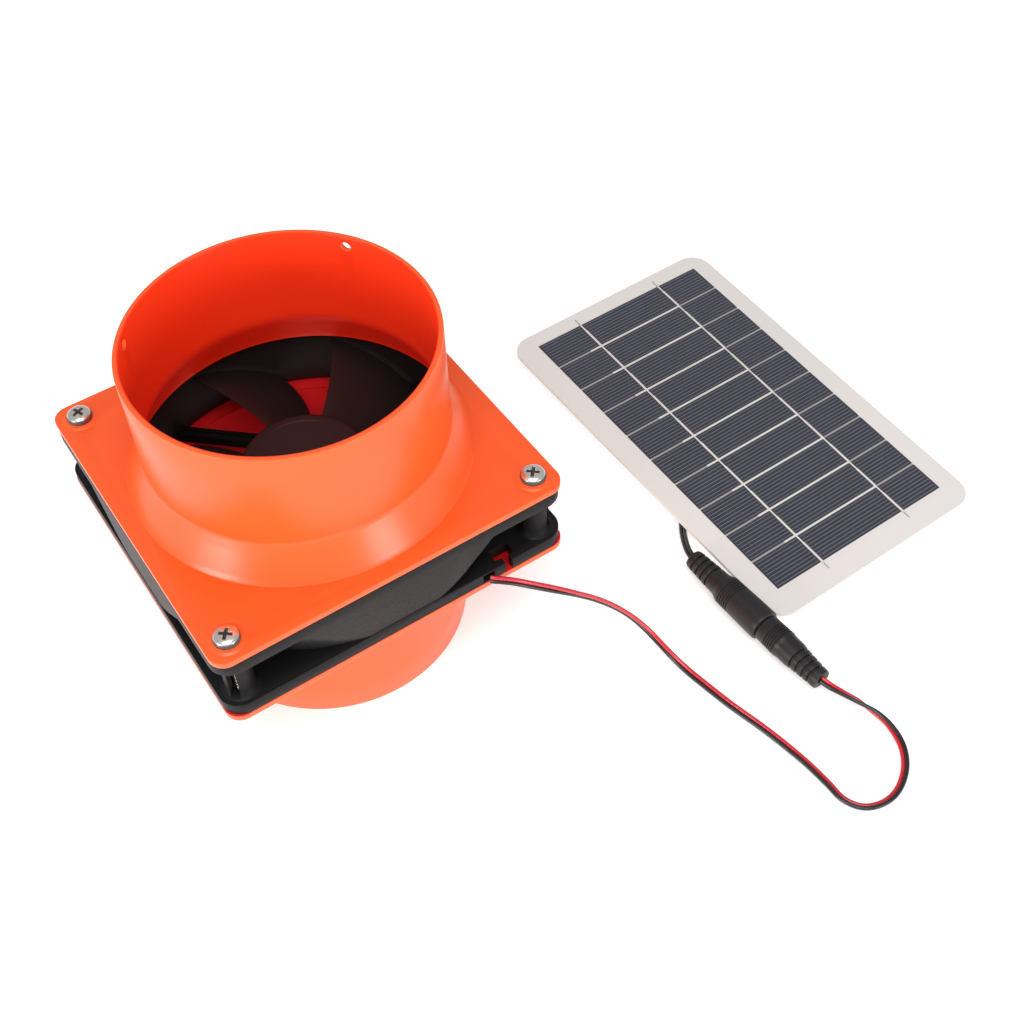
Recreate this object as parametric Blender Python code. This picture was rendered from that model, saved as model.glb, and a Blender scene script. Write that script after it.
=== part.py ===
"""Solar attic fan: a boxed axial fan between two duct flanges, with a small solar panel on a plug-in lead.

The fan stands on the rim of its lower duct flange, with its air path along +Z. The panel lies
beside it on +X and leans on its own junction box. Lengths are metres.
"""

import math

import bmesh
import bpy
from mathutils import Matrix, Vector

MM = 0.001
GAP = 0.3 * MM

# The fan's axis is at zero while modelling, and everything moves by this at the end, so that the
# origin ends under the middle of the whole set.
MIDDLE = (78.53 * MM, -20.74 * MM, 0.0)

# Fan frame and screws
FRAME_HALF = 60 * MM
FRAME_Z = (50.5 * MM, 75.5 * MM)
FRAME_CORNER = 7 * MM
FLANGE_THICK = 4.5 * MM
SCREW_PITCH_HALF = 52.5 * MM
SCREW_HOLE_R = 2.35 * MM
BORE_R = 57.2 * MM
RING_R = 61.0 * MM
RING_TOP_R = 68.3 * MM
POST_R = 4.6 * MM
POST_SLIT = 3.0 * MM
STRUT_WIDTH = 4.0 * MM
STRUT_TOP = 54.3 * MM
STRUT_OFFSET = 22.5 * MM
STRUT_FOOT = math.radians(-133)
BASE_R = 22 * MM
BASE_TOP = 53.0 * MM
LABEL_RECESS = 0.7 * MM
LABEL_R = 18.5 * MM
HOOK_X = 37.8 * MM

# Duct flanges, measured from the outer face of the plate
PLATE_HALF = 60 * MM
PLATE_CORNER = 5.3 * MM
PLATE_THICK = 2.2 * MM
COLLAR_HEIGHT = 48 * MM
COLLAR_R = 48 * MM
CONE_R = 54.6 * MM
CONE_HEIGHT = 12 * MM
WALL = 1.8 * MM
RIM_HOLE_R = 1.5 * MM
RIM_HOLE_DROP = 3.5 * MM
RIM_HOLE_ANGLES = (36, 144)
BOSS_R = 5.6 * MM
BOSS_HEIGHT = 0.4 * MM
LOWER_PLATE_Z = 48 * MM
UPPER_PLATE_Z = 78 * MM

# Impeller and motor
BLADES = 7
BLADE_TIP_R = 55.8 * MM
BLADE_THICK = 1.6 * MM
BLADE_TOP = 71.4 * MM
BLADE_DROP = 15.4 * MM
HUB_R = 20.5 * MM
HUB_INNER_R = 18.9 * MM
HUB_Z = (55.2 * MM, 72.3 * MM)
HUB_ROOF = 1.5 * MM
YOKE_R = (17.4 * MM, 18.5 * MM)
MAGNET_R = (15.2 * MM, 17.1 * MM)
CORE_R = (5.4 * MM, 14.6 * MM)
CORE_Z = (57.5 * MM, 64.5 * MM)
TUBE_R = (4.3 * MM, 5.1 * MM)
SHAFT_R = 1.5 * MM

# Clamp screws
HEAD_R = 4.05 * MM
HEAD_HEIGHT = 2.7 * MM
SHANK_R = 2.0 * MM
NUT_ACROSS = 7.0 * MM
NUT_HEIGHT = 3.2 * MM

# Panel, whose own frame has x across it, y along it and z out of its face
PANEL_ORIGIN = Vector((165.77, -20.84, 8.12)) * MM
PANEL_YAW = math.radians(2.15)
PANEL_PITCH = math.radians(3.2)
PANEL_ROLL = math.radians(1.45)
PANEL_SIZE = (97.4 * MM, 158.9 * MM)
PANEL_CORNER = 8 * MM
BOARD_Z = (-2.6 * MM, -1.2 * MM)
CELL_Z = (-1.05 * MM, -0.8 * MM)
RIBBON_Z = (-0.7 * MM, -0.55 * MM)
COVER_Z = (-0.4 * MM, 0.0 * MM)
CELLS = 10
CELL_WIDTH = 80.3 * MM
CELL_PITCH = 14.26 * MM
CELL_LENGTH = 13.5 * MM
CELL_CENTRE = (0.65 * MM, 1.7 * MM)
CELL_SKEW = math.radians(-0.4)
RIBBON_X = (-19.15 * MM, 20.85 * MM)
RIBBON_WIDTH = 1.6 * MM
RIBBON_LENGTH = 145 * MM
BOX_CENTRE = (-2 * MM, 52 * MM)
BOX_SIZE = (44 * MM, 28 * MM, 7.08 * MM)
BOX_WALL = 1.5 * MM

# Connector, along the line from its socket end to its plug end
SOCKET_START = Vector((111.75, -64.3, 6.0)) * MM
CONNECTOR_DIRECTION = Vector((1.75, -37.5, 0.0)).normalized()
SOCKET_LENGTH = 37.3 * MM
PLUG_LENGTH = 27.1 * MM
BARREL_R = (1.15 * MM, 2.75 * MM)
BARREL_REACH = 9.5 * MM

# Leads
FAN_LEAD_R = 1.25 * MM
PANEL_LEAD_R = 1.2 * MM
FAN_LEAD_ROUTE = (
    (30.1, -60.8, 52.4), (31.1, -61.7, 52.2), (33.2, -62.8, 51.5), (36.7, -64.6, 50.0),
    (41.2, -66.7, 47.3), (48.1, -69.1, 42.3), (55.7, -71.4, 36.3), (62.9, -73.0, 29.4),
    (69.2, -75.1, 22.4), (74.3, -78.1, 15.8), (77.8, -82.0, 10.2), (80.1, -86.8, 5.7),
    (81.7, -92.2, 2.7), (82.8, -98.1, 1.5), (83.9, -104.5, 1.35), (86.2, -117.0, 1.35),
    (89.7, -131.8, 1.35), (92.2, -146.6, 1.35), (93.0, -157.1, 1.35), (93.3, -164.5, 1.35),
    (96.7, -170.1, 1.35), (103.0, -172.6, 1.35), (110.1, -171.6, 1.35), (117.4, -166.9, 1.35),
    (122.2, -159.9, 1.35), (123.9, -151.0, 1.35), (122.1, -142.4, 1.8), (118.7, -136.0, 3.5),
    (116.1, -132.1, 5.2), (114.77, -128.7, 6.0),
)
PANEL_LEAD_ROUTE = (
    (150.5, 15.8, 4.4), (150.2, 11.5, 4.1), (148.5, 5.0, 2.6), (144.5, -4.0, 1.5),
    (139.0, -14.0, 1.3), (133.5, -25.0, 1.3), (128.0, -35.5, 1.3), (123.1, -44.0, 1.6),
    (118.6, -50.0, 2.7), (115.2, -55.3, 4.2), (112.7, -60.3, 5.6), (111.77, -64.0, 6.0),
)
STRUT_LEAD_ROUTE = (
    (-7.1, -9.2, 54.1), (-9.8, -13.4, 54.1), (-11.1, -17.8, 54.1), (-9.6, -21.6, 53.5), (-5.8, -25.4, 52.9),
    (-0.7, -30.1, 52.7), (6.6, -36.9, 52.7), (13.9, -43.7, 52.7), (20.5, -49.8, 52.7), (25.6, -54.3, 52.7),
    (28.6, -56.9, 52.6), (29.3, -58.1, 52.5),
)


def clear_scene():
    for obj in list(bpy.data.objects):
        bpy.data.objects.remove(obj, do_unlink=True)


def make_material(name, colour, roughness, metallic=0.0):
    material = bpy.data.materials.new(name)
    material.use_nodes = True
    shader = material.node_tree.nodes["Principled BSDF"]
    shader.inputs["Base Color"].default_value = (*colour, 1.0)
    shader.inputs["Roughness"].default_value = roughness
    shader.inputs["Metallic"].default_value = metallic
    material.diffuse_color = (*colour, 1.0)
    return material


def add_object(name, bm, material, placement=None):
    """A mesh object from bm, smooth where it is round."""
    bmesh.ops.remove_doubles(bm, verts=bm.verts, dist=1e-7)
    bmesh.ops.recalc_face_normals(bm, faces=bm.faces)
    mesh = bpy.data.meshes.new(name)
    bm.to_mesh(mesh)
    bm.free()
    obj = bpy.data.objects.new(name, mesh)
    bpy.context.scene.collection.objects.link(obj)
    if material:
        mesh.materials.append(material)
    mesh.shade_smooth()
    mesh.set_sharp_from_angle(angle=math.radians(32))
    if placement:
        obj.matrix_world = placement
    return obj


def make_helper(obj):
    obj.hide_render = True
    obj.display_type = "WIRE"


def boolean(obj, other, operation):
    modifier = obj.modifiers.new(f"{operation.lower()} {other.name}", "BOOLEAN")
    modifier.operation = operation
    modifier.solver = "EXACT"
    modifier.object = other
    make_helper(other)


def cut(obj, bm, name, placement=None):
    boolean(obj, add_object(f"{name}_cut", bm, None, placement), "DIFFERENCE")


def join(obj, bm, name, placement=None):
    boolean(obj, add_object(f"{name}_add", bm, None, placement), "UNION")


def lathe(bm, profile, steps):
    """Spins a closed loop of (radius, height) round Z. Points on the axis close into one."""
    verts = [bm.verts.new((r, 0, z)) for r, z in profile]
    on_axis = [r < 1e-9 for r, _ in profile]
    edges = []
    for index, vert in enumerate(verts):
        after = (index + 1) % len(verts)
        if not (on_axis[index] and on_axis[after]):
            edges.append(bm.edges.new((vert, verts[after])))
    bmesh.ops.spin(
        bm, geom=verts + edges, cent=(0, 0, 0), axis=(0, 0, 1), angle=2 * math.pi, steps=steps,
        use_merge=True,
    )
    bmesh.ops.remove_doubles(bm, verts=bm.verts, dist=1e-7)


def lathed(profile, steps):
    bm = bmesh.new()
    lathe(bm, profile, steps)
    return bm


def disc(radius, z0, z1, steps):
    return lathed(((0, z0), (radius, z0), (radius, z1), (0, z1)), steps)


def tube(inner, outer, z0, z1, steps):
    return lathed(((inner, z0), (outer, z0), (outer, z1), (inner, z1)), steps)


def prism(outline, z0, z1):
    bm = bmesh.new()
    face = bm.faces.new([bm.verts.new((x, y, z0)) for x, y in outline])
    made = bmesh.ops.extrude_face_region(bm, geom=[face])
    tops = [item for item in made["geom"] if isinstance(item, bmesh.types.BMVert)]
    bmesh.ops.translate(bm, verts=tops, vec=(0, 0, z1 - z0))
    return bm


def rounded_box_outline(half_x, half_y, radius, steps=4):
    outline = []
    for quarter, (sx, sy) in enumerate(((1, 1), (-1, 1), (-1, -1), (1, -1))):
        centre = (sx * (half_x - radius), sy * (half_y - radius))
        for step in range(steps + 1):
            angle = (quarter + step / steps) * math.pi / 2
            outline.append((centre[0] + radius * math.cos(angle), centre[1] + radius * math.sin(angle)))
    return outline


def box(lo, hi):
    outline = ((lo[0], lo[1]), (hi[0], lo[1]), (hi[0], hi[1]), (lo[0], hi[1]))
    return prism(outline, lo[2], hi[2])


def moved(x, y, z=0.0):
    return Matrix.Translation((x, y, z))


def turned(degrees):
    return Matrix.Rotation(math.radians(degrees), 4, "Z")


def corners():
    return [
        (sx * SCREW_PITCH_HALF, sy * SCREW_PITCH_HALF) for sx, sy in ((1, -1), (1, 1), (-1, 1), (-1, -1))
    ]


def smooth_route(route, per_leg):
    """Points of a smooth curve through the route, in metres."""
    points = [Vector(p) * MM for p in route]
    ends = [2 * points[0] - points[1]] + points + [2 * points[-1] - points[-2]]
    out = []
    for i in range(1, len(ends) - 2):
        a, b, c, d = ends[i - 1 : i + 3]
        for step in range(per_leg):
            t = step / per_leg
            out.append(
                0.5 * (2 * b + (c - a) * t + (2 * a - 5 * b + 4 * c - d) * t**2
                       + (3 * b - a - 3 * c + d) * t**3)
            )
    out.append(points[-1])
    return out


def cord(name, route, radius, material, per_leg=2):
    points = smooth_route(route, per_leg)
    curve = bpy.data.curves.new(name, "CURVE")
    curve.dimensions = "3D"
    curve.bevel_depth = radius
    curve.bevel_resolution = 2
    curve.use_fill_caps = True
    spline = curve.splines.new("POLY")
    spline.points.add(len(points) - 1)
    for point, place in zip(spline.points, points):
        point.co = (*place, 1)
    spline.use_smooth = True
    curve.materials.append(material)
    obj = bpy.data.objects.new(name, curve)
    bpy.context.scene.collection.objects.link(obj)
    return obj


def duct_flange_profiles():
    """Outer and inner outlines of cone and collar, as (radius, height above the plate's outer face)."""
    blend = 3.2 * MM
    outer = [(CONE_R + 0.9 * MM, -0.9 * MM), (CONE_R, 0), (CONE_R - 0.45 * MM, 0.6 * MM)]
    slope = (CONE_R - COLLAR_R) / CONE_HEIGHT
    for height in (3 * MM, 6 * MM, 9 * MM):
        outer.append((CONE_R - slope * height, height))
    outer.append((COLLAR_R + 0.45 * MM, CONE_HEIGHT - 0.3 * blend))
    outer.append((COLLAR_R, CONE_HEIGHT + 0.7 * blend))
    outer.append((COLLAR_R, COLLAR_HEIGHT - 0.4 * MM))
    outer.append((COLLAR_R - 0.4 * MM, COLLAR_HEIGHT))
    inner_r = COLLAR_R - WALL
    inner = [(CONE_R + 1.2 * MM, -PLATE_THICK - 2 * MM), (CONE_R - WALL, -PLATE_THICK)]
    inner.append((CONE_R - WALL - 0.6 * MM, 0))
    inner.append((inner_r + 0.5 * MM, CONE_HEIGHT - 0.5 * blend))
    inner.append((inner_r, CONE_HEIGHT + 0.6 * blend))
    inner.append((inner_r, COLLAR_HEIGHT - 0.4 * MM))
    inner.append((inner_r + 0.4 * MM, COLLAR_HEIGHT))
    inner.append((inner_r + 0.4 * MM, COLLAR_HEIGHT + 2 * MM))
    return outer, inner


def duct_flange(name, plate_z, upward, material):
    placement = moved(0, 0, plate_z)
    if not upward:
        placement = placement @ Matrix.Rotation(math.pi, 4, "X")
    outline = rounded_box_outline(PLATE_HALF, PLATE_HALF, PLATE_CORNER)
    flange = add_object(name, prism(outline, -PLATE_THICK, 0), material, placement)
    outer, inner = duct_flange_profiles()
    join(flange, lathed([(0, outer[0][1])] + outer + [(0, COLLAR_HEIGHT)], 40), f"{name}_collar", placement)
    for number, (x, y) in enumerate(corners(), 1):
        boss = lathed(((0, -1 * MM), (BOSS_R, -1 * MM), (BOSS_R, BOSS_HEIGHT), (0, BOSS_HEIGHT)), 14)
        join(flange, boss, f"{name}_boss_{number}", placement @ moved(x, y))
    bore = lathed([(0, inner[0][1])] + inner + [(0, inner[-1][1])], 40)
    cut(flange, bore, f"{name}_bore", placement)
    for number, (x, y) in enumerate(corners(), 1):
        hole = disc(SCREW_HOLE_R, -5 * MM, 5 * MM, 12)
        cut(flange, hole, f"{name}_hole_{number}", placement @ moved(x, y))
    for number, angle in enumerate(RIM_HOLE_ANGLES, 1):
        side = turned(angle) @ moved(COLLAR_R, 0, COLLAR_HEIGHT - RIM_HOLE_DROP)
        across = side @ Matrix.Rotation(math.pi / 2, 4, "Y")
        cut(flange, disc(RIM_HOLE_R, -5 * MM, 5 * MM, 8), f"{name}_rim_hole_{number}", placement @ across)
    return flange


def fan_frame(material):
    z0, z1 = FRAME_Z
    outline = rounded_box_outline(FRAME_HALF, FRAME_HALF, FRAME_CORNER)
    frame = add_object("fan_frame", prism(outline, z0, z0 + FLANGE_THICK), material)
    flare = (
        (BORE_R - 0.8 * MM, z0 + 0.6 * MM), (RING_R, z0 + 0.6 * MM), (RING_R, z0 + FLANGE_THICK),
        (RING_TOP_R, z1 - FLANGE_THICK), (RING_TOP_R, z1 - 0.6 * MM), (BORE_R - 0.8 * MM, z1 - 0.6 * MM),
    )
    ring = add_object("flared_ring", lathed(flare, 40), None)
    side = FRAME_HALF - 0.15 * MM
    sides = box((-side, -side, z0 - 5 * MM), (side, side, z1 + 5 * MM))
    boolean(ring, add_object("ring_sides", sides, None), "INTERSECT")
    boolean(frame, ring, "UNION")
    join(frame, prism(outline, z1 - FLANGE_THICK, z1), "upper_flange")
    for number, (x, y) in enumerate(corners(), 1):
        post = disc(POST_R, z0 + 1 * MM, z1 - 1 * MM, 12)
        join(frame, post, f"post_{number}", moved(x, y))
    mouth = (
        (0, z0 - 2 * MM), (BORE_R + 0.9 * MM, z0 - 2 * MM), (BORE_R + 0.9 * MM, z0 + 0.3 * MM),
        (BORE_R, z0 + 2 * MM),
        (BORE_R, z1 - 3 * MM), (BORE_R + 1.2 * MM, z1 - 0.4 * MM), (BORE_R + 1.2 * MM, z1 + 2 * MM),
        (0, z1 + 2 * MM),
    )
    cut(frame, lathed(mouth, 40), "venturi")
    for number, (x, y) in enumerate(corners(), 1):
        cut(frame, disc(SCREW_HOLE_R, z0 - 5 * MM, z1 + 5 * MM, 12), f"frame_hole_{number}", moved(x, y))
        outward = math.degrees(math.atan2(y, x))
        slit = box(
            (1.2 * MM, -POST_SLIT / 2, z0 + FLANGE_THICK + 0.4 * MM),
            (8 * MM, POST_SLIT / 2, z1 - FLANGE_THICK - 0.4 * MM),
        )
        cut(frame, slit, f"post_slit_{number}", moved(x, y) @ turned(outward))
    hook = (
        (HOOK_X - 1.3 * MM, -62 * MM), (HOOK_X + 1.3 * MM, -62 * MM), (HOOK_X + 1.3 * MM, -57.6 * MM),
        (HOOK_X + 3.4 * MM, -57.6 * MM), (HOOK_X + 3.4 * MM, -53.2 * MM), (HOOK_X - 3.6 * MM, -53.2 * MM),
        (HOOK_X - 3.6 * MM, -57.6 * MM), (HOOK_X - 1.3 * MM, -57.6 * MM),
    )
    cut(frame, prism(hook, z0 - 3 * MM, z0 + FLANGE_THICK + 3 * MM), "lead_hook")
    groove = (
        (28.2, -62), (32.4, -62), (32.4, -58.4), (27.6, -53.2), (22.4, -48.4), (19.6, -51.2), (28.2, -58.4),
    )
    groove = [(x * MM, y * MM) for x, y in groove]
    cut(frame, prism(groove, z0 - 3 * MM, z0 + 3.7 * MM), "lead_groove")
    join(frame, disc(BASE_R, z0, BASE_TOP, 32), "motor_base")
    strut = (
        (-STRUT_WIDTH / 2, 54.1 * MM), (-STRUT_WIDTH / 2, 10 * MM), (-6.5 * MM, 4 * MM), (-6.5 * MM, -4 * MM),
        (-1.3 * MM, -4 * MM), (STRUT_WIDTH / 2, 8 * MM), (STRUT_WIDTH / 2, 53.2 * MM),
    )
    strut = [(x + STRUT_OFFSET, y) for x, y in strut]
    for number in range(4):
        beam = prism(strut, z0 + 0.5 * MM, STRUT_TOP)
        join(frame, beam, f"strut_{number + 1}", turned(math.degrees(STRUT_FOOT) + 90 * number))
        if number == 0:
            channel = box(
                (STRUT_OFFSET - 1.3 * MM, 3 * MM, z0 + 1.2 * MM),
                (STRUT_OFFSET + 1.3 * MM, 56 * MM, z0 + 3.95 * MM),
            )
            channel_turn = turned(math.degrees(STRUT_FOOT))
            cut(frame, channel, "strut_channel", channel_turn)
            way = box((13 * MM, -1.2 * MM, BASE_TOP - 0.1 * MM), (23.8 * MM, 7 * MM, z0 + 4.2 * MM))
            cut(frame, way, "lead_way", channel_turn)
    cut(frame, disc(LABEL_R + 0.4 * MM, z0 - 3 * MM, z0 + LABEL_RECESS, 28), "label_recess")
    cut(frame, disc(TUBE_R[1] + 0.2 * MM, z0 - 3 * MM, BASE_TOP + 3 * MM, 20), "bearing_seat")
    return frame


def blade_point(radius, along, side):
    """A point of blade 0: along runs from its leading edge on top to its trailing edge below."""
    reach = (radius - HUB_R) / (BLADE_TIP_R - HUB_R)
    lead = math.radians(45.5 + 6.5 * max(reach, 0.0) ** 1.2)
    sweep = math.radians(40.0 - 9.0 * max(reach, 0.0) ** 1.6)
    drop = 0.7 * along + 0.3 * along**2
    angle = lead - sweep * along
    tangent = Vector((-sweep * radius, -BLADE_DROP * (0.7 + 0.6 * along)))
    normal = Vector((-tangent.y, tangent.x)).normalized()
    thickness = BLADE_THICK * (0.55 + 0.45 * math.sin(math.pi * min(max(along, 0.0), 1.0)))
    shift = normal * (side * thickness / 2)
    angle += shift.x / radius
    height = BLADE_TOP - BLADE_DROP * drop + shift.y
    return Vector((radius * math.cos(angle), radius * math.sin(angle), height))


def blade():
    bm = bmesh.new()
    radii = [r * MM for r in (19.6, 28, 38, 48)] + [BLADE_TIP_R]
    steps = 4
    grids = []
    for side in (1, -1):
        grid = [[bm.verts.new(blade_point(r, s / steps, side)) for s in range(steps + 1)] for r in radii]
        grids.append(grid)
        for i in range(len(radii) - 1):
            for j in range(steps):
                bm.faces.new((grid[i][j], grid[i + 1][j], grid[i + 1][j + 1], grid[i][j + 1]))
    upper, lower = grids
    for row in (0, -1):
        for j in range(steps):
            bm.faces.new((upper[row][j], upper[row][j + 1], lower[row][j + 1], lower[row][j]))
    for column in (0, -1):
        for i in range(len(radii) - 1):
            bm.faces.new((upper[i][column], upper[i + 1][column], lower[i + 1][column], lower[i][column]))
    return bm


def impeller(material):
    z0, z1 = HUB_Z
    roof = z1 - HUB_ROOF
    profile = (
        (0, roof), (HUB_INNER_R - 0.4 * MM, roof), (HUB_INNER_R, roof - 0.4 * MM), (HUB_INNER_R, z0),
        (HUB_R, z0),
        (HUB_R, z1 - 1.4 * MM), (HUB_R - 0.4 * MM, z1 - 0.4 * MM), (HUB_R - 1.4 * MM, z1), (0, z1),
    )
    hub = add_object("impeller", lathed(profile, 35), material)
    for number in range(BLADES):
        join(hub, blade(), f"blade_{number + 1}", turned(360 * number / BLADES))
    return hub


def motor(materials):
    steel = materials["steel"]
    roof = HUB_Z[1] - HUB_ROOF - GAP
    yoke_top = roof - 1 * MM
    yoke = (
        (3.3 * MM, yoke_top), (YOKE_R[0] - 0.5 * MM, yoke_top), (YOKE_R[0], yoke_top - 0.5 * MM),
        (YOKE_R[0], 56 * MM),
        (YOKE_R[1], 56 * MM), (YOKE_R[1], roof - 1 * MM), (YOKE_R[1] - 0.9 * MM, roof), (3.3 * MM, roof),
    )
    add_object("rotor_yoke", lathed(yoke, 30), steel)
    add_object("magnet_ring", tube(*MAGNET_R, 56.4 * MM, 66.4 * MM, 30), materials["magnet"])
    bush = (
        (1.75 * MM, 67.2 * MM), (3.0 * MM, 67.2 * MM), (3.0 * MM, roof - 0.1 * MM),
        (1.75 * MM, roof - 0.1 * MM),
    )
    add_object("rotor_bush", lathed(bush, 20), materials["brass"])
    shaft = (
        (0, 52.2 * MM), (1.2 * MM, 52.2 * MM), (SHAFT_R, 52.5 * MM), (SHAFT_R, 53.7 * MM),
        (1.0 * MM, 53.7 * MM),
        (1.0 * MM, 54.5 * MM), (SHAFT_R, 54.5 * MM), (SHAFT_R, roof - 0.4 * MM), (1.2 * MM, roof - 0.1 * MM),
        (0, roof - 0.1 * MM),
    )
    add_object("rotor_shaft", lathed(shaft, 16), steel)
    clip = add_object("retaining_clip", tube(1.2 * MM, 2.9 * MM, 53.9 * MM, 54.3 * MM, 20), steel)
    cut(clip, box((0, -0.5 * MM, 53 * MM), (4 * MM, 0.5 * MM, 55 * MM)), "clip_slot")
    bearing_tube = (
        (3.4 * MM, 51.4 * MM), (TUBE_R[1] - 0.1 * MM, 51.4 * MM), (TUBE_R[1] - 0.1 * MM, 67.0 * MM),
        (TUBE_R[0], 67.0 * MM),
        (TUBE_R[0], 62.9 * MM), (3.4 * MM, 62.9 * MM), (3.4 * MM, 59.0 * MM), (TUBE_R[0], 59.0 * MM),
        (TUBE_R[0], 54.9 * MM), (3.4 * MM, 54.9 * MM),
    )
    add_object("bearing_tube", lathed(bearing_tube, 18), materials["brass"])
    add_object("bearing_lower", tube(1.65 * MM, 4.1 * MM, 55.2 * MM, 58.7 * MM, 18), steel)
    add_object("bearing_upper", tube(1.65 * MM, 4.1 * MM, 63.2 * MM, 66.0 * MM, 18), steel)
    add_object("preload_washer", tube(1.75 * MM, 2.9 * MM, 66.3 * MM, 66.8 * MM, 20), steel)
    stator(materials)


def stator(materials):
    core = add_object("stator_core", tube(CORE_R[0], 8.2 * MM, *CORE_Z, 18), materials["core"])
    for number in range(4):
        arm = box((7 * MM, -2.2 * MM, CORE_Z[0] + 0.02 * MM), (12.6 * MM, 2.2 * MM, CORE_Z[1] - 0.02 * MM))
        join(core, arm, f"arm_{number + 1}", turned(90 * number))
        sector = [(12.1 * MM, angle) for angle in (36, 24, 12, 0, -12, -24, -36)]
        sector = [(CORE_R[1], -angle) for _, angle in sector] + sector
        shoe = [(r * math.cos(math.radians(a)), r * math.sin(math.radians(a))) for r, a in sector]
        join(core, prism(shoe, *CORE_Z), f"shoe_{number + 1}", turned(90 * number))
    for name, z0, z1 in (
        ("insulator_lower", CORE_Z[0] - 1.0 * MM, CORE_Z[0] - GAP),
        ("insulator_upper", CORE_Z[1] + GAP, CORE_Z[1] + 1.0 * MM),
    ):
        cover = add_object(name, tube(CORE_R[0], 8.2 * MM, z0, z1, 18), materials["insulator"])
        for number in range(4):
            arm = box((7 * MM, -2.2 * MM, z0 + 0.02 * MM), (13.4 * MM, 2.2 * MM, z1 - 0.02 * MM))
            join(cover, arm, f"{name}_arm_{number + 1}", turned(90 * number))
    for number in range(4):
        outer = box((8.6 * MM, -4.0 * MM, CORE_Z[0] - 1.9 * MM), (10.9 * MM, 4.0 * MM, CORE_Z[1] + 1.9 * MM))
        coil = add_object(f"coil_{number + 1}", outer, materials["copper"], turned(90 * number))
        window = box((5 * MM, -2.5 * MM, CORE_Z[0] - 1.25 * MM), (15 * MM, 2.5 * MM, CORE_Z[1] + 1.25 * MM))
        cut(coil, window, f"coil_{number + 1}_window", turned(90 * number))
    board = add_object("motor_board", tube(5.6 * MM, 14.6 * MM, 53.3 * MM, 54.3 * MM, 32), materials["board"])
    cut(board, box((9.5 * MM, -2 * MM, 52 * MM), (16 * MM, 2 * MM, 56 * MM)), "board_slot", turned(-127))
    chip = box((7.6 * MM, -2.4 * MM, 54.35 * MM), (10.6 * MM, 2.4 * MM, 55.3 * MM))
    add_object("driver_chip", chip, materials["chip"], turned(100))


def clamp_screw(number, x, y, material):
    seat = UPPER_PLATE_Z + BOSS_HEIGHT + 0.1 * MM
    tip = LOWER_PLATE_Z - BOSS_HEIGHT - 4.4 * MM
    profile = (
        (0, tip), (SHANK_R - 0.5 * MM, tip), (SHANK_R, tip + 0.5 * MM), (SHANK_R, seat), (HEAD_R, seat),
        (HEAD_R, seat + 1.2 * MM), (HEAD_R - 0.5 * MM, seat + 2.0 * MM), (HEAD_R - 1.5 * MM, seat + 2.5 * MM),
        (1.2 * MM, seat + HEAD_HEIGHT), (0, seat + HEAD_HEIGHT),
    )
    screw = add_object(f"clamp_screw_{number}", lathed(profile, 14), material, moved(x, y))
    turn = turned(17 + 31 * number)
    for arm in range(2):
        slot = box((-2.1 * MM, -0.4 * MM, seat + 1.2 * MM), (2.1 * MM, 0.4 * MM, seat + 5 * MM))
        cut(screw, slot, f"screw_{number}_slot_{arm + 1}", moved(x, y) @ turn @ turned(90 * arm))


def clamp_nut(number, x, y, material):
    top = LOWER_PLATE_Z - BOSS_HEIGHT - 0.1 * MM
    radius = NUT_ACROSS / math.sqrt(3)
    outline = [
        (radius * math.cos(math.pi * k / 3), radius * math.sin(math.pi * k / 3)) for k in range(6)
    ]
    placement = moved(x, y) @ turned(12 * number)
    nut = add_object(f"clamp_nut_{number}", prism(outline, top - NUT_HEIGHT, top), material, placement)
    crown = (
        (0, top - NUT_HEIGHT - 1 * MM), (radius - 1.6 * MM, top - NUT_HEIGHT - 1 * MM),
        (radius + 1 * MM, top - NUT_HEIGHT + 1.6 * MM), (radius + 1 * MM, top + 1 * MM), (0, top + 1 * MM),
    )
    boolean(nut, add_object(f"nut_{number}_crown", lathed(crown, 18), None, placement), "INTERSECT")
    cut(nut, disc(SHANK_R + 0.15 * MM, top - 9 * MM, top + 5 * MM, 12), f"nut_{number}_thread", placement)


def along_connector(start):
    """Placement whose +Z runs from the socket end to the plug end, start metres along."""
    turn = CONNECTOR_DIRECTION.to_track_quat("Z", "Y").to_matrix().to_4x4()
    return Matrix.Translation(SOCKET_START + CONNECTOR_DIRECTION * start) @ turn


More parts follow.
